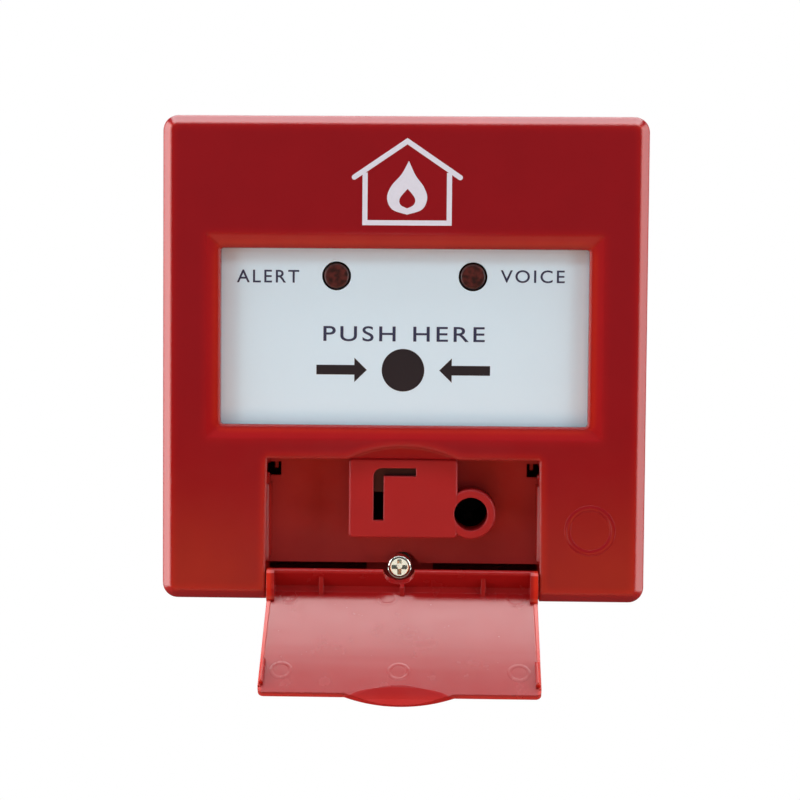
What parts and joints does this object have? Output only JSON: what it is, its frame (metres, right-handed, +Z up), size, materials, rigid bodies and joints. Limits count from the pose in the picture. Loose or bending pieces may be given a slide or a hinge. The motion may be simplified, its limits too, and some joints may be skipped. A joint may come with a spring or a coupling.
{
  "type": "manual call point",
  "caption": "Square red wall-mounted manual call point with a white press plate, two indicator lamps, a telephone jack and a hinged lower door.",
  "frame": {"origin": "centre of the back face that lies on the wall, at the middle of the two wall screw slots", "axes": "+Y points into the wall, the front faces -Y, +Z is up and +X is to the right of someone facing it"},
  "size_m": [0.095, 0.0642, 0.1113],
  "materials": {
    "red_gloss": "smooth moulded plastic, signal red, lightly polished",
    "red_satin": "moulded plastic, signal red, fine satin texture",
    "white_plate": "smooth white moulded plastic with dark blue print",
    "brown_plastic": "dark brown moulded plastic",
    "black_plastic": "black moulded plastic",
    "led_red": "unlit diffused red lens",
    "nylon_natural": "natural nylon",
    "spring_steel": "bright spring steel",
    "zinc_steel": "zinc plated steel",
    "nickel_screw": "warm nickel plating",
    "brass": "machined brass",
    "board_green": "glass epoxy board with green solder mask",
    "terminal_grey": "grey moulded plastic",
    "resistor_tan": "tan lacquer with colour bands",
    "capacitor_can": "aluminium can"
  },
  "bodies": {
    "housing": {"back_box": "red_gloss", "front_cover": "red_gloss", "chassis": "red_satin", "key_bezel": "red_gloss", "chassis_screws": "zinc_steel", "pivot_rod": "zinc_steel", "slider_spring": "spring_steel", "circuit_board": "board_green", "board_screws": "zinc_steel", "left_led": "led_red", "right_led": "led_red", "led_spacers": "nylon_natural", "microswitch_body": "black_plastic", "switch_pins": "zinc_steel", "terminal_block": "terminal_grey", "terminal_screws": "zinc_steel", "resistors": "resistor_tan", "capacitor": "capacitor_can", "jack_body": "black_plastic", "jack_contacts": "spring_steel", "cover_screw": "nickel_screw", "captive_washer": "zinc_steel", "screw_insert": "brass"},
    "door": {"door": "red_gloss"},
    "press_plate": {"press_plate": "white_plate", "return_spring": "spring_steel"},
    "reset_slider": {"reset_slider": "brown_plastic"},
    "switch_lever": {"switch_lever": "spring_steel"},
    "switch_plunger": {"switch_plunger": "brown_plastic"}
  },
  "joints": [
    {"name": "door_hinge", "type": "hinge", "parent": "housing", "child": "door", "pos_m": [0, -0.043, -0.0455], "axis": [1, 0, 0], "range_deg": [-127, 0]},
    {"name": "plate_hinge", "type": "hinge", "parent": "housing", "child": "press_plate", "pos_m": [0, -0.0399, 0.0252], "axis": [1, 0, 0], "range_deg": [0, 4.5], "stiffness_Nm_per_rad": 0.5, "springref_deg": -22.92},
    {"name": "reset_slide", "type": "slide", "parent": "housing", "child": "reset_slider", "axis": [0, 0, -1], "range_m": [0, 0.0031], "deforming": ["slider_spring"]},
    {"name": "lever_hinge", "type": "hinge", "parent": "housing", "child": "switch_lever", "pos_m": [0.0202, -0.0366, 0.0056], "axis": [1, 0, 0], "range_deg": [0, 10]},
    {"name": "plunger_slide", "type": "slide", "parent": "housing", "child": "switch_plunger", "axis": [0, 1, 0], "range_m": [0, 0.0008]}
  ],
  "couplings": [
    {"joint": "reset_slide", "follows": "plate_hinge", "m_per_rad": 0.0382},
    {"joint": "lever_hinge", "follows": "plate_hinge", "ratio": 2.2},
    {"joint": "plunger_slide", "follows": "plate_hinge", "m_per_rad": 0.00955}
  ]
}
